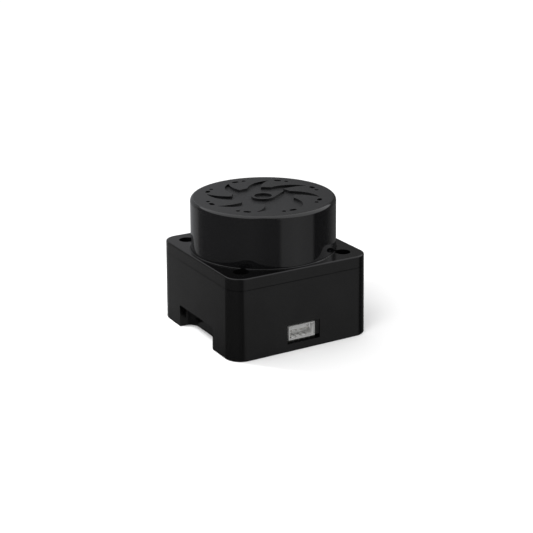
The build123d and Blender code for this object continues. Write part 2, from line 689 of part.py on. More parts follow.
# ======================================================================
# Head: chassis, boards and optics
# ======================================================================

BOARD_POSTS = [
    (POST_CIRCLE_R * cos(radians(turn)), POST_CIRCLE_R * sin(radians(turn))) for turn in (120, 180, 240)
]
FOOT_POSTS = [(3.5, -12.3), (3.5, 12.7)]
HEAD_POSTS = BOARD_POSTS + FOOT_POSTS
with BuildPart() as rotor_chassis:
    ring(CUP_Z[1] + FIT_GAP, CHASSIS_FLANGE_Z[1], 0, CUP_R)
    ring(ENCODER_Z[1] + FIT_GAP, CHASSIS_FLANGE_Z[1], 0, CHASSIS_NECK_R)
    ring(*CHASSIS_FLANGE_Z, 0, CHASSIS_R)
    chamfer(rotor_chassis.faces().sort_by(Axis.Z)[-1].edges(), 0.2)
    # Snap bead that holds the cap.
    with BuildSketch(Plane.XZ, mode=Mode.PRIVATE) as bead:
        with Locations((CHASSIS_R, SNAP_Z)):
            Polygon((-0.3, -0.3), (0, -0.3), (0.22, 0), (0, 0.3), (-0.3, 0.3), align=None)
    revolve(bead.sketch, axis=Axis.Z)
    # Weight-saving rooms under the board, around the hub, and the coil groove below.
    ring(ROOM_FLOOR, CHASSIS_FLANGE_Z[1], *ROOM_R, mode=Mode.SUBTRACT)
    for index in range(WEBS):
        with Locations(Location((0, 0, ROOM_FLOOR), (0, 0, index * 360 / WEBS))):
            with Locations((sum(ROOM_R) / 2, 0, (CHASSIS_FLANGE_Z[1] - ROOM_FLOOR) / 2)):
                Box(ROOM_R[1] - ROOM_R[0] + 1, WEB_T, CHASSIS_FLANGE_Z[1] - ROOM_FLOOR)
    groove_z = (CHASSIS_FLANGE_Z[0], CHASSIS_FLANGE_Z[0] + CHASSIS_GROOVE_H)
    ring(*groove_z, *CHASSIS_GROOVE_R, mode=Mode.SUBTRACT)
    # Board posts and the feet of the optics block.
    post_bottom = CHASSIS_FLANGE_Z[1] - BOARD_POST_SINK
    with BuildSketch(Plane.XY.offset(post_bottom)) as posts:
        with Locations(*HEAD_POSTS):
            Circle(BOARD_POST_R)
    extrude(amount=ROTOR_BOARD_Z - post_bottom)
    with BuildSketch(Plane.XY.offset(ROTOR_BOARD_Z)) as post_pilots:
        with Locations(*HEAD_POSTS):
            Circle(SMALL_PILOT_R)
    extrude(amount=-BOARD_PILOT_DEPTH, mode=Mode.SUBTRACT)
    ring(CUP_Z[1], CHASSIS_FLANGE_Z[1] + 1, 0, SHAFT_R, mode=Mode.SUBTRACT)
save(rotor_chassis, "rotor_chassis")

with BuildPart() as secondary_coil:
    ferrite_bottom = CHASSIS_FLANGE_Z[0] + CHASSIS_GROOVE_H - FERRITE_T
    coil_z = (CHASSIS_FLANGE_Z[0] + 0.05, ferrite_bottom - FIT_GAP)
    ring(*coil_z, CHASSIS_GROOVE_R[0] + 0.2, CHASSIS_GROOVE_R[1] - 0.15)
    fillet(secondary_coil.edges(), 0.15)
save(secondary_coil, "secondary_coil")

with BuildPart() as secondary_ferrite:
    ferrite_r = (CHASSIS_GROOVE_R[0] + 0.12, CHASSIS_GROOVE_R[1] - 0.05)
    ring(ferrite_bottom, ferrite_bottom + FERRITE_T, *ferrite_r)
save(secondary_ferrite, "secondary_ferrite")

with BuildPart() as rotor_board:
    with BuildSketch(Plane.XY.offset(ROTOR_BOARD_Z)) as rotor_outline:
        Circle(ROTOR_BOARD_R)
        with Locations(*HEAD_POSTS):
            Circle(SMALL_CLEAR_R, mode=Mode.SUBTRACT)
    extrude(amount=BOARD_T)
save(rotor_board, "rotor_board")

ROTOR_CHIPS = [
    (-7.2, 4.6, 5.0, 5.0, 0.9),
    (-7.4, -4.6, 4.0, 4.0, 0.9),
    (-12.6, 3.4, 1.6, 0.8, 0.8),
    (-12.6, -3.4, 1.6, 0.8, 0.8),
    (-9.6, 8.4, 2.4, 2.0, 1.2),
    (-9.4, -8.6, 2.0, 1.2, 1.0),
    (-8.4, 0.0, 2.0, 1.2, 0.8),
]
with BuildPart() as rotor_board_chips:
    for chip_x, chip_y, length, width, height in ROTOR_CHIPS:
        block(
            (chip_x - length / 2, chip_x + length / 2),
            (chip_y - width / 2, chip_y + width / 2),
            (ROTOR_BOARD_TOP, ROTOR_BOARD_TOP + height),
        )
save(rotor_board_chips, "rotor_board_chips")

with BuildPart() as rotor_board_screws:
    for post_x, post_y in BOARD_POSTS:
        small_screw(post_x, post_y, ROTOR_BOARD_TOP, BOARD_SCREW_LENGTH)
save(rotor_board_screws, "rotor_board_screws")

with BuildPart() as link_emitter:
    emitter_y = (-EMITTER_HALF_W, EMITTER_HALF_W)
    block((-LINK_HALF_L, LINK_HALF_L), emitter_y, (ROTOR_BOARD_Z - EMITTER_H, ROTOR_BOARD_Z))
    with Locations((0, 0, ROTOR_BOARD_Z - EMITTER_H)):
        Sphere(EMITTER_DOME_R)
save(link_emitter, "link_emitter")

# One block holds both lenses; each beam has its own tapered, light-tight barrel.
BEAMS = [
    (RECEIVER_Y, RECEIVER_LENS_R, BARREL_BACK_R[0]),
    (EMITTER_Y, EMITTER_LENS_R, BARREL_BACK_R[1]),
]
with BuildPart() as optics_block:
    block(BLOCK_X, BLOCK_Y, (ROTOR_BOARD_TOP + 0.1, BLOCK_TOP))
    fillet(optics_block.edges().filter_by(Axis.X), 1.0)
    fillet(optics_block.edges().filter_by(Axis.Z), 0.6)
    for post_x, post_y in FOOT_POSTS:
        foot_y = sorted((post_y + (1.6 if post_y > 0 else -1.6), post_y * 0.7))
        foot_z = (ROTOR_BOARD_TOP + FIT_GAP, ROTOR_BOARD_TOP + FOOT_T)
        block((post_x - 1.7, post_x + 1.7), tuple(foot_y), foot_z)
    for beam_y, lens_r, back_r in BEAMS:
        with BuildSketch(Plane.YZ.offset(BLOCK_X[1] - LENS_T - LENS_SEAT), mode=Mode.PRIVATE) as seat:
            with Locations((beam_y, BEAM_Z)):
                Circle(lens_r - 0.5)
        with BuildSketch(Plane.YZ.offset(BLOCK_X[0] - 1), mode=Mode.PRIVATE) as back:
            with Locations((beam_y, BEAM_Z)):
                Circle(back_r)
        loft([back.sketch.face(), seat.sketch.face()], mode=Mode.SUBTRACT)
        with BuildSketch(Plane.YZ.offset(BLOCK_X[1] + 1), mode=Mode.PRIVATE) as mouth:
            with Locations((beam_y, BEAM_Z)):
                Circle(lens_r + FIT_GAP)
        extrude(mouth.sketch, amount=-(LENS_T + 1.4), mode=Mode.SUBTRACT)
    with BuildSketch(Plane.XY.offset(ROTOR_BOARD_TOP)) as foot_holes:
        with Locations(*FOOT_POSTS):
            Circle(SMALL_CLEAR_R)
    extrude(amount=FOOT_T + 0.2, mode=Mode.SUBTRACT)
save(optics_block, "optics_block")

with BuildPart() as optics_block_screws:
    for post_x, post_y in FOOT_POSTS:
        small_screw(post_x, post_y, ROTOR_BOARD_TOP + FOOT_T, BOARD_SCREW_LENGTH + FOOT_T)
save(optics_block_screws, "optics_block_screws")


def lens(beam_y, lens_r, bulge):
    """Adds a lens with a flat back and a domed front, seated in the mouth of its barrel."""
    back_x = BLOCK_X[1] - LENS_T - LENS_SEAT + FIT_GAP
    front_x = back_x + LENS_EDGE_T + bulge
    dome_r = (lens_r**2 + bulge**2) / (2 * bulge)
    with BuildSketch(Plane.YZ.offset(back_x), mode=Mode.PRIVATE) as rim:
        with Locations((beam_y, BEAM_Z)):
            Circle(lens_r)
    extrude(rim.sketch, amount=front_x - back_x + 1)
    with Locations((front_x - dome_r, beam_y, BEAM_Z)):
        Sphere(dome_r, rotation=(0, 90, 0), mode=Mode.INTERSECT)


with BuildPart() as receiver_lens:
    lens(RECEIVER_Y, RECEIVER_LENS_R, LENS_BULGES[0])
save(receiver_lens, "receiver_lens")

with BuildPart() as emitter_lens:
    lens(EMITTER_Y, EMITTER_LENS_R, LENS_BULGES[1])
save(emitter_lens, "emitter_lens")

UPRIGHT_X = (BLOCK_X[0] - 0.05 - BOARD_T, BLOCK_X[0] - 0.05)
for name, low_y, high_y in (("receiver", 0.2, 9.6), ("emitter", -9.3, -0.2)):
    with BuildPart() as upright_board:
        block(UPRIGHT_X, (low_y, high_y), (ROTOR_BOARD_TOP + 0.05, BLOCK_TOP - 0.6))
        fillet(upright_board.edges().filter_by(Axis.X), 0.5)
    save(upright_board, f"{name}_board")

with BuildPart() as laser_diode:
    with BuildSketch(Plane.YZ.offset(UPRIGHT_X[1])) as can_base:
        with Locations((EMITTER_Y, BEAM_Z)):
            Circle(LASER_BASE[0])
    extrude(amount=LASER_BASE[1])
    with BuildSketch(Plane.YZ.offset(UPRIGHT_X[1] + LASER_BASE[1])) as can:
        with Locations((EMITTER_Y, BEAM_Z)):
            Circle(LASER_CAN[0])
    extrude(amount=LASER_CAN[1])
save(laser_diode, "laser_diode")

with BuildPart() as receiver_sensor:
    sensor_y = (RECEIVER_Y - SENSOR_SIDE / 2, RECEIVER_Y + SENSOR_SIDE / 2)
    sensor_z = (BEAM_Z - SENSOR_SIDE / 2, BEAM_Z + SENSOR_SIDE / 2)
    block((UPRIGHT_X[1], UPRIGHT_X[1] + SENSOR_T), sensor_y, sensor_z)
save(receiver_sensor, "receiver_sensor")

# Angled pins carry the signals from the upright boards down to the rotor board.
with BuildPart() as board_link_pins:
    pin_back = UPRIGHT_X[0] - LINK_PIN_REACH
    pin_top = LINK_PIN_Z + LINK_PIN_SIDE
    for start_y in LINK_PIN_STARTS:
        for index in range(LINK_PIN_COUNT):
            pin_y = start_y + index * LINK_PIN_PITCH
            pin_span = (pin_y - LINK_PIN_SIDE / 2, pin_y + LINK_PIN_SIDE / 2)
            block((pin_back, UPRIGHT_X[0]), pin_span, (LINK_PIN_Z, pin_top))
            block((pin_back, pin_back + LINK_PIN_SIDE), pin_span, (ROTOR_BOARD_TOP, pin_top))
save(board_link_pins, "board_link_pins")

# ======================================================================
# Head cap, with the vane relief on its roof
# ======================================================================

CAVITY_ROOF = TOTAL_H - CAP_ROOF
INNER_R = CAP_R - CAP_WALL
with BuildPart() as head_cap:
    with BuildSketch(Plane.XZ) as shell_profile:
        with BuildLine():
            Polyline(
                (0, CAP_BOTTOM),
                (CAP_R, CAP_BOTTOM),
                (cap_r_at(TOTAL_H), TOTAL_H),
                (0, TOTAL_H),
                close=True,
            )
        make_face()
    revolve(axis=Axis.Z)
    fillet(head_cap.faces().sort_by(Axis.Z)[-1].edges(), CAP_RIM_R)
    chamfer(head_cap.faces().sort_by(Axis.Z)[0].edges(), 0.15)
    with BuildSketch(Plane.XZ) as hollow_profile:
        with BuildLine():
            Polyline(
                (0, CAP_BOTTOM),
                (INNER_R, CAP_BOTTOM),
                (cap_r_at(CAVITY_ROOF) - CAP_WALL, CAVITY_ROOF),
                (0, CAVITY_ROOF),
                close=True,
            )
        make_face()
    revolve(axis=Axis.Z, mode=Mode.SUBTRACT)
    # Groove for the snap bead.
    with BuildSketch(Plane.XZ, mode=Mode.PRIVATE) as snap_groove:
        with Locations((INNER_R, SNAP_Z)):
            Polygon((-0.3, -0.35), (0, -0.35), (0.25, 0), (0, 0.35), (-0.3, 0.35), align=None)
    revolve(snap_groove.sketch, axis=Axis.Z, mode=Mode.SUBTRACT)
    # Relief: a round pocket with curved vanes, keeping a teardrop ring in the middle.
    with BuildSketch(Plane.XY.offset(TOTAL_H)) as relief:
        # One curved, pointed vane that springs from the centre pocket.
        with BuildSketch(mode=Mode.PRIVATE) as one_vane:
            with BuildLine():
                ThreePointArc(VANE_ROOT_LEAD, VANE_LEAD_MID, VANE_TIP)
                ThreePointArc(VANE_TIP, VANE_TRAIL_MID, VANE_ROOT_TRAIL)
                Line(VANE_ROOT_TRAIL, VANE_ROOT_LEAD)
            make_face()
        with PolarLocations(0, VANES):
            add(one_vane.sketch)
        Circle(RELIEF_POCKET_R)
        touch = radians(DROP_ANGLE) + acos(DROP_R[1] / DROP_TIP_R)
        below = radians(2 * DROP_ANGLE) - touch
        tip = (DROP_TIP_R * cos(radians(DROP_ANGLE)), DROP_TIP_R * sin(radians(DROP_ANGLE)))
        with BuildSketch(mode=Mode.PRIVATE) as drop:
            Circle(DROP_R[1])
            with BuildLine():
                Polyline(
                    (0, 0),
                    (DROP_R[1] * cos(below), DROP_R[1] * sin(below)),
                    tip,
                    (DROP_R[1] * cos(touch), DROP_R[1] * sin(touch)),
                    close=True,
                )
            make_face()
            Circle(DROP_R[0], mode=Mode.SUBTRACT)
        add(drop.sketch, mode=Mode.SUBTRACT)
    extrude(amount=-RELIEF_DEPTH, mode=Mode.SUBTRACT)
    # Slots and dots around the rim.
    with BuildSketch(Plane.XY.offset(TOTAL_H)) as marks:
        with PolarLocations(MARK_R, VANES):
            SlotOverall(MARK_LENGTH, MARK_WIDTH, rotation=90)
        with PolarLocations(MARK_R, VANES, start_angle=-DOT_LAG):
            Circle(DOT_R)
    extrude(amount=-MARK_DEPTH, mode=Mode.SUBTRACT)
save(head_cap, "head_cap")
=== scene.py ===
"""Looks for the small lidar scanner module: materials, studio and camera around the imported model."""

import json
from math import cos, radians, sin, tau

import bpy
from mathutils import Matrix, Vector


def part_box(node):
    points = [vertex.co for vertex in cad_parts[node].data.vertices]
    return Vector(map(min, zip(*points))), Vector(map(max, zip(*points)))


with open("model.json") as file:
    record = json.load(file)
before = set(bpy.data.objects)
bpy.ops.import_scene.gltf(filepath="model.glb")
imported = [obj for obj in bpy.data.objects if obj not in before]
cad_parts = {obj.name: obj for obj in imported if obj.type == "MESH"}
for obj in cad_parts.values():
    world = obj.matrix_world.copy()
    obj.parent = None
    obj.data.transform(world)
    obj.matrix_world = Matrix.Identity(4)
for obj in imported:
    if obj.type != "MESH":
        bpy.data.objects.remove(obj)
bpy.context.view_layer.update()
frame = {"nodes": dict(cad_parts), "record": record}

MM = 0.001
MICRON = 0.001 * MM

# ======================================================================
# Camera: the reference view, round the middle of the base's underside
# ======================================================================

CAMERA_AZIMUTH = -29.99
CAMERA_ELEVATION = 19.32
CAMERA_ROLL = -0.36
CAMERA_DISTANCE = 321.59 * MM
CAMERA_ASIDE = 0.735 * MM
CAMERA_RAISE = 14.262 * MM
SENSOR = 36.0
LENS = 85.82


def make_camera():
    """A camera that looks at a point beside and above the origin, as seen from its own azimuth."""
    azimuth, elevation, roll = (
        radians(angle) for angle in (CAMERA_AZIMUTH, CAMERA_ELEVATION, CAMERA_ROLL)
    )
    back = Vector((sin(azimuth) * cos(elevation), -cos(azimuth) * cos(elevation), sin(elevation)))
    right = Vector((cos(azimuth), sin(azimuth), 0))
    up = back.cross(right)
    spot = back * CAMERA_DISTANCE + right * CAMERA_ASIDE + up * CAMERA_RAISE
    turned_right = cos(roll) * right + sin(roll) * up
    turned_up = cos(roll) * up - sin(roll) * right
    data = bpy.data.cameras.new("camera")
    data.sensor_width = SENSOR
    data.lens = LENS
    data.clip_start = 10 * MM
    data.clip_end = 10
    camera = bpy.data.objects.new("camera", data)
    bpy.context.scene.collection.objects.link(camera)
    turn = Matrix((turned_right, turned_up, back)).transposed()
    camera.matrix_world = Matrix.Translation(spot) @ turn.to_4x4()
    bpy.context.scene.camera = camera


# ======================================================================
# Node helpers
# ======================================================================


def add(tree, kind, inputs=None, **settings):
    """Adds a node; an input that is given a socket is linked, and any other is set."""
    made = tree.nodes.new(kind)
    for key, value in settings.items():
        setattr(made, key, value)
    for key, value in (inputs or {}).items():
        if isinstance(value, bpy.types.NodeSocket):
            tree.links.new(value, made.inputs[key])
        else:
            made.inputs[key].default_value = value
    return made


def calc(tree, operation, first, second=0.0):
    """The result of one Math node."""
    return add(tree, "ShaderNodeMath", {0: first, 1: second}, operation=operation).outputs[0]


def remap(tree, value, low, high, to_low, to_high):
    """value moved from one range to another, eased and kept inside it."""
    sockets = {"Value": value, "From Min": low, "From Max": high, "To Min": to_low, "To Max": to_high}
    return add(tree, "ShaderNodeMapRange", sockets, interpolation_type="SMOOTHSTEP").outputs[0]


def mix(tree, share, first, second):
    """Two colours mixed by share."""
    return add(tree, "ShaderNodeMix", {0: share, 6: first, 7: second}, data_type="RGBA").outputs[2]


def place(tree):
    """A point's place on the object, in metres, fixed to the body that carries it."""
    return add(tree, "ShaderNodeTexCoord").outputs["Object"]


def face_normal(tree):
    """The direction that the face itself looks, before any bump."""
    return add(tree, "ShaderNodeNewGeometry").outputs["True Normal"]


def split(tree, vector):
    """The x, y and z of a vector."""
    return add(tree, "ShaderNodeSeparateXYZ", {0: vector}).outputs


def noise(tree, vector, size, detail=3.0, roughness=0.5):
    """Noise whose lumps are about size metres across."""
    sockets = {"Vector": vector, "Scale": 1 / size, "Detail": detail, "Roughness": roughness}
    return add(tree, "ShaderNodeTexNoise", sockets).outputs[0]


# Nearly all of a noise lies within these.
NOISE_RANGE = (0.3, 0.7)


def vary(tree, value, low, high):
    """A noise spread over low to high."""
    return remap(tree, value, *NOISE_RANGE, low, high)


def stretched(tree, vector, x, y, z):
    """vector scaled along each axis, for brushed and drawn surfaces."""
    made = add(tree, "ShaderNodeMapping", {"Vector": vector, "Scale": (x, y, z)})
    return made.outputs[0]


def bump(tree, height, depth, under=None):
    """A normal from a height of 0 to 1 that stands depth metres tall."""
    sockets = {"Height": height, "Strength": 1.0, "Distance": depth}
    if under is not None:
        sockets["Normal"] = under
    return add(tree, "ShaderNodeBump", sockets).outputs[0]


def ridges(tree, along, pitch):
    """A rounded wave from 0 to 1 that repeats every pitch metres of along."""
    wave = calc(tree, "SINE", calc(tree, "MULTIPLY", along, tau / pitch))
    return calc(tree, "ADD", calc(tree, "MULTIPLY", wave, 0.5), 0.5)


def from_axis(tree, vector):
    """Distance of a point from the spin axis."""
    flat = add(tree, "ShaderNodeVectorMath", {0: vector, 1: (1, 1, 0)}, operation="MULTIPLY").outputs[0]
    return add(tree, "ShaderNodeVectorMath", {0: flat}, operation="LENGTH").outputs["Value"]


def shades(colour, spread):
    """A darker and a lighter version of a colour, as RGBA, each away from it by a share of spread."""
    return [[channel * factor for channel in colour] + [1.0] for factor in (1 - spread, 1 + spread)]


def start(name, **sockets):
    """A new material, its tree and its shader, with uniform values set on the shader itself."""
    material = bpy.data.materials.new(name)
    material.use_nodes = True
    tree = material.node_tree
    shader = tree.nodes["Principled BSDF"]
    for key, value in sockets.items():
        shader.inputs[key.replace("_", " ")].default_value = value
    return material, tree, shader


def join(tree, shader, colour, rough, normal=None):
    """Links a colour, a roughness and a normal to the shader."""
    tree.links.new(colour, shader.inputs["Base Color"])
    tree.links.new(rough, shader.inputs["Roughness"])
    if normal is not None:
        tree.links.new(normal, shader.inputs["Normal"])


# ======================================================================
# Plastics
# ======================================================================


def moulded(name, colour, rough, grain, depth, specular=0.5):
    """Moulded plastic: a fine spark-eroded grain, with faint flow clouds in colour and gloss."""
    material, tree, shader = start(name, Specular_IOR_Level=specular)
    at = place(tree)
    clouds = noise(tree, at, 9 * MM)
    fine = noise(tree, at, grain, detail=2.0)
    dark, light = shades(colour, 0.12)
    tinted = mix(tree, calc(tree, "MULTIPLY", calc(tree, "ADD", clouds, fine), 0.5), dark, light)
    gloss = calc(tree, "ADD", vary(tree, clouds, rough - 0.03, rough + 0.03),
                 vary(tree, fine, -0.02, 0.02))
    join(tree, shader, tinted, gloss, bump(tree, fine, depth))
    return material


# The satin roof reaches this far down, over the floor of the relief but not into the deeper marks.
ROOF_BAND = 0.80 * MM
ROOF_BAND_FADE = 0.1 * MM
# A face counts as roof when the z of its normal passes the first of these, and wholly at the second.
ROOF_SLOPE = (0.86, 0.98)


def head_plastic(name):
    """The head cap: a polished infrared-pass wall under a satin roof, with a soft step between them."""
    material, tree, shader = start(name, Specular_IOR_Level=0.5)
    at = place(tree)
    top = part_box("head_cap")[1].z
    bottom = top - ROOF_BAND
    above = remap(tree, split(tree, at)[2], bottom, bottom + ROOF_BAND_FADE, 0.0, 1.0)
    upward = split(tree, face_normal(tree))[2]
    roof = calc(tree, "MULTIPLY", above, remap(tree, upward, *ROOF_SLOPE, 0.0, 1.0))
    clouds = noise(tree, at, 7 * MM)
    grain = noise(tree, at, 0.12 * MM, detail=2.0)
    wall = mix(tree, clouds, (0.0028, 0.0028, 0.0031, 1), (0.0038, 0.0038, 0.0042, 1))
    satin = mix(tree, grain, (0.0055, 0.0057, 0.0061, 1), (0.0085, 0.0087, 0.0093, 1))
    tinted = mix(tree, roof, wall, satin)
    wall_gloss = vary(tree, clouds, 0.010, 0.020)
    roof_gloss = vary(tree, grain, 0.38, 0.44)
    gloss = add(tree, "ShaderNodeMix", {0: roof, 2: wall_gloss, 3: roof_gloss}).outputs[0]
    peel = bump(tree, clouds, 2 * MICRON)
    height = calc(tree, "MULTIPLY", grain, roof)
    join(tree, shader, tinted, gloss, bump(tree, height, 3 * MICRON, peel))
    return material


# Painted light: the socket's nylon turns paler between these two depths behind its front face.
SOCKET_PAINTED_LIGHT_DEPTHS = (0.02 * MM, 0.3 * MM)


def nylon(name, colour, inside=None):
    """Unfilled nylon, waxy with faint clouds. The socket's has painted light, paler inside its mouth.
    """
    material, tree, shader = start(name, Specular_IOR_Level=0.3)
    at = place(tree)
    clouds = noise(tree, at, 2 * MM)
    fine = noise(tree, at, 0.08 * MM)
    dark, light = shades(colour, 0.05)
    tinted = mix(tree, clouds, dark, light)
    # Painted light: the shaded inside of the mouth is painted paler than the front face.
    if inside is not None:
        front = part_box("connector_shell")[0].y
        within = remap(tree, split(tree, at)[1], *(front + depth for depth in SOCKET_PAINTED_LIGHT_DEPTHS), 0.0, 1.0)
        tinted = mix(tree, within, tinted, (*inside, 1))
    join(tree, shader, tinted, vary(tree, fine, 0.40, 0.50), bump(tree, fine, 2 * MICRON))
    return material


def clear_epoxy(name):
    """Cast epoxy of the small emitters and receivers."""
    material, tree, shader = start(name, IOR=1.5, Transmission_Weight=0.6)
    at = place(tree)
    clouds = noise(tree, at, 0.5 * MM)
    tinted = mix(tree, clouds, (0.45, 0.48, 0.52, 1), (0.62, 0.66, 0.70, 1))
    join(tree, shader, tinted, vary(tree, clouds, 0.05, 0.12))
    return material


# ======================================================================
# Boards
# ======================================================================


def circuit_board(name, thin_axis):
    """Dark solder mask over fine copper tracks, with bare laminate on the cut edges.

    thin_axis is 0 for a board that stands across X, whose upright edges wear the mask too, and 2 for
    one that lies flat.
    """
    material, tree, shader = start(name, Specular_IOR_Level=0.5)
    at = place(tree)
    turned = at
    if thin_axis == 0:
        quarter_turn = {"Vector": at, "Rotation": (0, radians(90), 0)}
        turned = add(tree, "ShaderNodeMapping", quarter_turn).outputs[0]
    bricks = {"Vector": turned, "Scale": 1.0, "Mortar Size": 0.09 * MM, "Brick Width": 3.1 * MM,
              "Row Height": 0.62 * MM}
    tracks = add(tree, "ShaderNodeTexBrick", bricks).outputs["Fac"]
    patches = remap(tree, noise(tree, at, 5 * MM), 0.47, 0.53, 0.0, 1.0)
    copper = calc(tree, "MULTIPLY", tracks, patches)
    mask = mix(tree, copper, (0.006, 0.022, 0.015, 1), (0.013, 0.045, 0.027, 1))
    upward = calc(tree, "ABSOLUTE", split(tree, face_normal(tree))[2])
    flat = calc(tree, "GREATER_THAN" if thin_axis == 2 else "LESS_THAN", upward, 0.5)
    weave = ridges(tree, split(tree, at)[2], 0.16 * MM)
    laminate = mix(tree, weave, (0.014, 0.014, 0.011, 1), (0.026, 0.025, 0.020, 1))
    tinted = mix(tree, flat, laminate, mask)
    gloss = remap(tree, flat, 0.0, 1.0, 0.75, 0.30)
    join(tree, shader, tinted, gloss, bump(tree, copper, 18 * MICRON))
    return material


# ======================================================================
# Metals
# ======================================================================


# Which way a metal's streaks run: a small factor draws them out along that axis.
STREAKS_ALONG_Z = (1, 1, 0.08)
STREAKS_ALONG_Y = (1, 0.1, 1)
STREAKS_ACROSS_Z = (0.08, 0.08, 1)
NO_STREAKS = (1, 1, 1)


def brushed(name, colour, rough, grain, streaks_run):
    """Ground or drawn metal: fine streaks, with slow changes of gloss."""
    material, tree, shader = start(name, Metallic=1.0)
    at = place(tree)
    streaks = noise(tree, stretched(tree, at, *streaks_run), grain, detail=4.0)
    clouds = noise(tree, at, 4 * MM)
    dark, light = shades(colour, 0.14)
    tinted = mix(tree, calc(tree, "MULTIPLY", calc(tree, "ADD", streaks, clouds), 0.5), dark, light)
    gloss = remap(tree, streaks, 0.25, 0.75, rough - 0.06, rough + 0.08)
    join(tree, shader, tinted, gloss, bump(tree, streaks, 1.5 * MICRON))
    return material


def turned(name, colour, rough, pitch):
    """Lathe-turned metal: shallow rings along the axis and round it."""
    material, tree, shader = start(name, Metallic=1.0)
    at = place(tree)
    along = calc(tree, "ADD", split(tree, at)[2], from_axis(tree, at))
    rings = ridges(tree, along, pitch)
    clouds = noise(tree, at, 3 * MM)
    dark, light = shades(colour, 0.10)
    tinted = mix(tree, calc(tree, "MULTIPLY", calc(tree, "ADD", rings, clouds), 0.5), dark, light)
    gloss = vary(tree, clouds, rough - 0.05, rough + 0.05)
    join(tree, shader, tinted, gloss, bump(tree, rings, 1.2 * MICRON))
    return material


def laminations(name):
    """Stamped steel sheets, stacked along the axis, with a blued face."""
    material, tree, shader = start(name, Metallic=0.9)
    at = place(tree)
    sheets = ridges(tree, split(tree, at)[2], 0.35 * MM)
    clouds = noise(tree, at, 1.5 * MM)
    tinted = mix(tree, sheets, (0.10, 0.11, 0.13, 1), (0.30, 0.31, 0.34, 1))
    join(tree, shader, tinted, vary(tree, clouds, 0.40, 0.55), bump(tree, sheets, 30 * MICRON))
    return material


def wound_wire(name, pitch):
    """Enamelled copper wire laid in even turns round the axis or along a tooth."""
    material, tree, shader = start(name, Metallic=1.0, Coat_Weight=0.6, Coat_Roughness=0.12)
    at = place(tree)
    turns = ridges(tree, from_axis(tree, at), pitch)
    age = noise(tree, at, 1.2 * MM)
    wire = mix(tree, age, (0.42, 0.13, 0.045, 1), (0.66, 0.25, 0.09, 1))
    # Painted shade: the grooves between the turns are painted near black.
    tinted = mix(tree, remap(tree, turns, 0.0, 0.35, 0.0, 1.0), (0.06, 0.02, 0.01, 1), wire)
    join(tree, shader, tinted, vary(tree, age, 0.26, 0.36), bump(tree, turns, 0.3 * pitch))
    return material


def sintered(name, colour, rough, metallic):
    """Pressed and sintered powder: a fine granular grey."""
    material, tree, shader = start(name, Metallic=metallic)
    at = place(tree)
    grains = noise(tree, at, 0.07 * MM, detail=5.0, roughness=0.7)
    dark, light = shades(colour, 0.3)
    tinted = mix(tree, grains, dark, light)
    gloss = vary(tree, grains, rough - 0.1, rough + 0.1)
    join(tree, shader, tinted, gloss, bump(tree, grains, 6 * MICRON))
    return material


def polished(name, colour, rough):
    """Ground and polished steel, with faint smears of oil."""
    material, tree, shader = start(name, Metallic=1.0)
    at = place(tree)
    smears = noise(tree, at, 0.6 * MM)
    dark, light = shades(colour, 0.05)
    tinted = mix(tree, smears, dark, light)
    join(tree, shader, tinted, vary(tree, smears, rough, rough + 0.06))
    return material


def lens_glass(name):
    """Coated glass: clear, with a faint green-violet bloom that changes across the face."""
    material, tree, shader = start(name, IOR=1.52, Transmission_Weight=0.9, Coat_Weight=0.5,
                                   Coat_Roughness=0.02)
    at = place(tree)
    bloom = noise(tree, at, 3 * MM)
    tinted = mix(tree, bloom, (0.72, 0.84, 0.80, 1), (0.84, 0.80, 0.92, 1))
    join(tree, shader, tinted, vary(tree, bloom, 0.01, 0.04))
    return material


# ======================================================================
# Which material each node wears
# ======================================================================


# Each material's maker, and what it is given after its name: a colour first where it takes one, then
# mostly a roughness and the size of its grain, streaks or rings.
MATERIALS = {
    "housing_plastic": (moulded, (0.0018, 0.0018, 0.0019), 0.16, 0.10 * MM, 0.6 * MICRON, 0.38),
    "head_plastic": (head_plastic,),
    # The socket's front colour, then the paler painted light inside its mouth.
    "connector_nylon": (nylon, (0.32, 0.32, 0.315), (0.62, 0.62, 0.61)),
    "cage_nylon": (nylon, (0.55, 0.47, 0.33)),
    "circuit_board": (circuit_board, 2),
    "upright_board": (circuit_board, 0),
    "dull_solder": (sintered, (0.09, 0.09, 0.09), 0.7, 0.5),
    "chip_epoxy": (moulded, (0.016, 0.016, 0.017), 0.52, 0.05 * MM, 4 * MICRON),
    "sensor_plastic": (moulded, (0.012, 0.012, 0.013), 0.42, 0.07 * MM, 3 * MICRON),
    "optics_plastic": (moulded, (0.014, 0.014, 0.014), 0.62, 0.09 * MM, 6 * MICRON),
    "clear_epoxy": (clear_epoxy,),
    "black_steel": (brushed, (0.010, 0.010, 0.011), 0.45, 0.08 * MM, NO_STREAKS),
    "plated_steel": (brushed, (0.60, 0.60, 0.57), 0.28, 0.08 * MM, NO_STREAKS),
    "tinned_contact": (brushed, (0.72, 0.70, 0.66), 0.24, 0.06 * MM, STREAKS_ALONG_Y),
    "turned_brass": (turned, (0.70, 0.50, 0.20), 0.24, 0.09 * MM),
    "lamination_steel": (laminations,),
    "magnet_wire": (wound_wire, 0.16 * MM),
    "bearing_steel": (polished, (0.66, 0.67, 0.68), 0.08),
    "ferrite_sheet": (sintered, (0.035, 0.035, 0.038), 0.55, 0.2),
    "magnet_ceramic": (sintered, (0.060, 0.060, 0.066), 0.48, 0.4),
    "ground_steel": (brushed, (0.62, 0.62, 0.63), 0.16, 0.05 * MM, STREAKS_ACROSS_Z),
    "pressed_steel": (brushed, (0.46, 0.46, 0.47), 0.30, 0.10 * MM, STREAKS_ALONG_Z),
    "lens_glass": (lens_glass,),
    "laser_can": (turned, (0.78, 0.57, 0.24), 0.18, 0.07 * MM),
}
# The nodes that wear another material than their slot's own.
OTHER_LOOKS = {
    "receiver_board": "upright_board",
    "emitter_board": "upright_board",
    "board_edge_pads": "dull_solder",
}


def make_materials():
    """Every material in the table, keyed by its name."""
    return {name: maker(name, *values) for name, (maker, *values) in MATERIALS.items()}


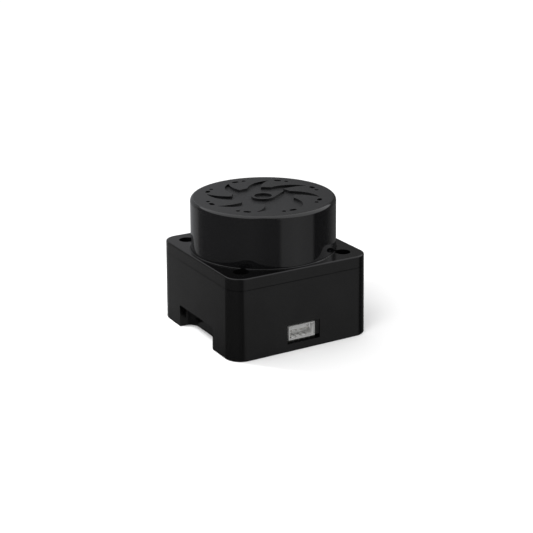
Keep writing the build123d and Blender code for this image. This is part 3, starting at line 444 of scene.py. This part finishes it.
def dress_nodes(materials):
    """Gives each CAD node the material of its slot in the record, or its own look."""
    slots = {part["node"]: part["material_slot"] for part in frame["record"]["subparts"]}
    for name, node in frame["nodes"].items():
        node.data.materials.clear()
        node.data.materials.append(materials[OTHER_LOOKS.get(name, slots[name])])


# ======================================================================
# Studio
# ======================================================================

FLOOR_SIZE = 3.0
FLOOR_SHADE = 0.93
# How far the floor's shade drifts either way, as a share of it.
FLOOR_CLOUDS = 0.01 / FLOOR_SHADE


def make_floor():
    """A plain pale floor. Gloss rays pass it, so the black plastic mirrors only the studio round it."""
    bpy.ops.mesh.primitive_plane_add(size=FLOOR_SIZE, location=(0, 0, 0))
    floor = bpy.context.object
    floor.name = "floor"
    floor.visible_glossy = False
    material, tree, shader = start("floor", Specular_IOR_Level=0.0)
    soft = noise(tree, place(tree), 300 * MM)
    low, high = shades(grey(FLOOR_SHADE), FLOOR_CLOUDS)
    join(tree, shader, mix(tree, soft, low, high), remap(tree, soft, 0.0, 1.0, 0.9, 1.0))
    floor.data.materials.append(material)


def grey(level):
    """A neutral colour."""
    return level, level, level


# How bright the studio's walls are, by compass direction, as (degrees from +X towards +Y, colour).
# The black plastic mirrors these: a wide soft panel ahead of the socket side, dark flags beside it,
# and a cool soft wall behind and to the left.
WALLS = [
    (-180, grey(0.165)),
    (-140, grey(0.200)),
    (-112, grey(0.140)),
    (-96, grey(0.140)),
    (-90, grey(0.44)),
    (-66, grey(0.50)),
    (-38, grey(0.36)),
    (-32, grey(0.050)),
    (-4, grey(0.050)),
    (20, grey(0.13)),
    (50, grey(0.09)),
    (58, grey(0.14)),
    (63, (0.29, 0.29, 0.30)),
    (70, (0.36, 0.365, 0.38)),
    (104, (0.34, 0.345, 0.35)),
    (112, grey(0.31)),
    (116, grey(0.27)),
    (120, grey(0.13)),
    (134, grey(0.095)),
    (180, grey(0.165)),
]
# The roof panel's colour, and the heights between which it fades in, as the z of a direction.
ROOF_LIGHT = (1.3, 1.3, 1.32)
ROOF_FROM = 0.74
ROOF_FULL = 0.90
# How far the roof panel comes down at its sides, and the compass direction of its near side.
PANEL_SPREAD = 0.75
PANEL_TURN = -30
# Its far side comes down only high up: not at all below this band of heights, and fully above it.
FAR_SIDE_BAND = (0.3, 0.6)
# The walls fade to black on the way down through this band of heights.
SKIRTING = (-0.405, -0.358)
# The even light that everything but gloss sees.
DAYLIGHT = 1.07

# The large lamp, in metres and watts, and the height that it is turned towards.
KEY_PLACE = (-0.35, -0.25, 0.55)
KEY_SIZE = 0.30
KEY_POWER = 1.2
KEY_AIM = 15 * MM
# The small lamp stands close behind the left of the head.
SIDE_PLACE = (-50 * MM, 30 * MM, 62 * MM)
SIDE_SIZE = 20 * MM
SIDE_POWER = 0.045
SIDE_AIM = 33 * MM


def make_world():
    """Even white light on everything, and studio walls with a roof panel for gloss to mirror."""
    world = bpy.data.worlds.new("studio")
    bpy.context.scene.world = world
    world.use_nodes = True
    tree = world.node_tree
    tree.nodes.clear()
    x, y, z = split(tree, add(tree, "ShaderNodeTexCoord").outputs["Generated"])
    compass = calc(tree, "ARCTAN2", y, x)
    share = calc(tree, "ADD", calc(tree, "DIVIDE", compass, tau), 0.5)
    ramp = add(tree, "ShaderNodeValToRGB", {0: share})
    stops = ramp.color_ramp.elements
    while len(stops) < len(WALLS):
        stops.new(0.5)
    for stop, (degrees, colour) in zip(stops, WALLS):
        stop.position = (degrees + 180) / 360
        stop.color = (*colour, 1)
    # The roof panel hangs lower on its near side, and high up also on its far side.
    aside = calc(tree, "ADD", calc(tree, "MULTIPLY", x, cos(radians(PANEL_TURN))),
                 calc(tree, "MULTIPLY", y, sin(radians(PANEL_TURN))))
    upper_half = calc(tree, "GREATER_THAN", z, 0.0)
    near_side = calc(tree, "MULTIPLY", calc(tree, "MAXIMUM", aside, 0.0), upper_half)
    raised = remap(tree, z, *FAR_SIDE_BAND, 0.0, -1.0)
    far_side = calc(tree, "MULTIPLY", calc(tree, "MINIMUM", aside, 0.0), raised)
    lowered = calc(tree, "MULTIPLY", calc(tree, "ADD", near_side, far_side), PANEL_SPREAD)
    height = calc(tree, "ADD", z, lowered)
    roof = remap(tree, height, ROOF_FROM, ROOF_FULL, 0.0, 1.0)
    walls = mix(tree, remap(tree, z, *SKIRTING, 0.0, 1.0), (0, 0, 0, 1), ramp.outputs[0])
    mirrored = mix(tree, roof, walls, (*ROOF_LIGHT, 1))
    glossy = add(tree, "ShaderNodeLightPath").outputs["Is Glossy Ray"]
    colour = mix(tree, glossy, (*grey(DAYLIGHT), 1), mirrored)
    background = add(tree, "ShaderNodeBackground", {"Color": colour, "Strength": 1.0})
    output = add(tree, "ShaderNodeOutputWorld")
    tree.links.new(background.outputs[0], output.inputs["Surface"])


def soft_lamp(name, location, size, power, aim):
    """A round lamp turned towards height aim on the spin axis. Gloss doesn't show it."""
    data = bpy.data.lights.new(name, "AREA")
    data.shape = "DISK"
    data.size = size
    data.energy = power
    lamp = bpy.data.objects.new(name, data)
    lamp.location = location
    lamp.rotation_euler = (Vector((0, 0, aim)) - lamp.location).to_track_quat("-Z", "Y").to_euler()
    lamp.visible_glossy = False
    bpy.context.scene.collection.objects.link(lamp)
    return lamp


def make_lamps():
    """A large soft box high behind the camera's left shoulder, and a small lamp that lifts the roof."""
    soft_lamp("key", KEY_PLACE, KEY_SIZE, KEY_POWER, KEY_AIM)
    side = soft_lamp("side", SIDE_PLACE, SIDE_SIZE, SIDE_POWER, SIDE_AIM)
    side.visible_camera = False


make_camera()
make_world()
make_floor()
make_lamps()
dress_nodes(make_materials())
bpy.context.scene.view_settings.view_transform = "Standard"
